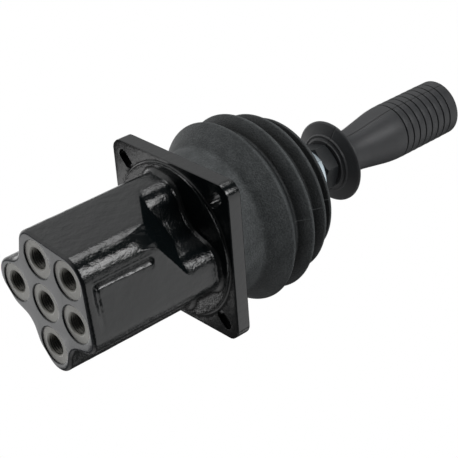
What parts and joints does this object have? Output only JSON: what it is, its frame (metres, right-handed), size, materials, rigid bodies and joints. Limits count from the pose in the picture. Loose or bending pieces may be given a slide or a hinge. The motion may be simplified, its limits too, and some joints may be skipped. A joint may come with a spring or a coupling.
{
  "type": "hydraulic pilot control joystick",
  "caption": "Cast valve block with threaded ports under a square flange, rubber bellows and a tilting hand lever that pushes spring-loaded plungers.",
  "frame": {"origin": "centre of the mounting flange's port-side face, on the lever's axis", "axes": "+Z along the lever, towards the handle; X and Y along the flange's edges; the supply port lies towards +X and -Y"},
  "size_m": [0.1086, 0.1086, 0.3107],
  "materials": {
    "bellows_rubber": "matt black moulded rubber",
    "bronze": "turned bronze",
    "cast_paint": "sand-cast iron with glossy black paint",
    "dark_steel": "black oxide steel",
    "handle_plastic": "satin black moulded plastic",
    "seal_rubber": "nitrile seal",
    "steel": "turned steel",
    "zinc": "bright zinc plate"
  },
  "bodies": {
    "housing": {"valve_body": "cast_paint", "retainer_plate": "steel", "retainer_screws": "dark_steel", "bush_seals": "seal_rubber", "plunger_wipers": "seal_rubber", "joint_base": "steel", "bellows": "bellows_rubber", "guide_bush_right": "bronze", "return_spring_right": "steel", "metering_spring_right": "steel", "guide_bush_rear": "bronze", "return_spring_rear": "steel", "metering_spring_rear": "steel", "guide_bush_left": "bronze", "return_spring_left": "steel", "metering_spring_left": "steel", "guide_bush_front": "bronze", "return_spring_front": "steel", "metering_spring_front": "steel"},
    "gimbal": {"gimbal_block": "steel", "base_pin": "steel", "yoke_pins": "steel"},
    "lever": {"lever_yoke": "steel", "cam_plate": "steel", "cam_nut": "steel", "lever_rod": "steel", "neck_sleeve": "zinc", "lock_nut": "zinc", "handle_nut": "dark_steel", "handle_insert": "bronze", "handle_grip": "handle_plastic"},
    "push_rod_right": {"plunger_right": "steel", "spring_seat_right": "steel"},
    "push_rod_rear": {"plunger_rear": "steel", "spring_seat_rear": "steel"},
    "push_rod_left": {"plunger_left": "steel", "spring_seat_left": "steel"},
    "push_rod_front": {"plunger_front": "steel", "spring_seat_front": "steel"},
    "valve_spool_right": {"spool_right": "steel"},
    "valve_spool_rear": {"spool_rear": "steel"},
    "valve_spool_left": {"spool_left": "steel"},
    "valve_spool_front": {"spool_front": "steel"}
  },
  "joints": [
    {"name": "lever_tilt_x", "type": "hinge", "parent": "housing", "child": "gimbal", "pos_m": [0, 0, 0.038], "axis": [1, 0, 0], "range_deg": [-20, 20], "stiffness_Nm_per_rad": 5, "deforming": ["bellows"]},
    {"name": "lever_tilt_y", "type": "hinge", "parent": "gimbal", "child": "lever", "pos_m": [0, 0, 0.038], "axis": [0, 1, 0], "range_deg": [-20, 20], "stiffness_Nm_per_rad": 5, "deforming": ["bellows"]},
    {"name": "plunger_travel_right", "type": "slide", "parent": "housing", "child": "push_rod_right", "axis": [0, 0, 1], "range_m": [-0.0086, 0.0086], "deforming": ["return_spring_right", "metering_spring_right"]},
    {"name": "plunger_travel_rear", "type": "slide", "parent": "housing", "child": "push_rod_rear", "axis": [0, 0, 1], "range_m": [-0.0086, 0.0086], "deforming": ["return_spring_rear", "metering_spring_rear"]},
    {"name": "plunger_travel_left", "type": "slide", "parent": "housing", "child": "push_rod_left", "axis": [0, 0, 1], "range_m": [-0.0086, 0.0086], "deforming": ["return_spring_left", "metering_spring_left"]},
    {"name": "plunger_travel_front", "type": "slide", "parent": "housing", "child": "push_rod_front", "axis": [0, 0, 1], "range_m": [-0.0086, 0.0086], "deforming": ["return_spring_front", "metering_spring_front"]},
    {"name": "spool_travel_right", "type": "slide", "parent": "housing", "child": "valve_spool_right", "axis": [0, 0, 1], "range_m": [-0.00171, 0.00171]},
    {"name": "spool_travel_rear", "type": "slide", "parent": "housing", "child": "valve_spool_rear", "axis": [0, 0, 1], "range_m": [-0.00171, 0.00171]},
    {"name": "spool_travel_left", "type": "slide", "parent": "housing", "child": "valve_spool_left", "axis": [0, 0, 1], "range_m": [-0.00171, 0.00171]},
    {"name": "spool_travel_front", "type": "slide", "parent": "housing", "child": "valve_spool_front", "axis": [0, 0, 1], "range_m": [-0.00171, 0.00171]}
  ],
  "couplings": [
    {"joint": "plunger_travel_right", "follows": "lever_tilt_y", "m_per_rad": -0.02438},
    {"joint": "plunger_travel_rear", "follows": "lever_tilt_x", "m_per_rad": 0.02438},
    {"joint": "plunger_travel_left", "follows": "lever_tilt_y", "m_per_rad": 0.02438},
    {"joint": "plunger_travel_front", "follows": "lever_tilt_x", "m_per_rad": -0.02438},
    {"joint": "spool_travel_right", "follows": "lever_tilt_y", "m_per_rad": -0.004876},
    {"joint": "spool_travel_rear", "follows": "lever_tilt_x", "m_per_rad": 0.004876},
    {"joint": "spool_travel_left", "follows": "lever_tilt_y", "m_per_rad": 0.004876},
    {"joint": "spool_travel_front", "follows": "lever_tilt_x", "m_per_rad": -0.004876}
  ]
}
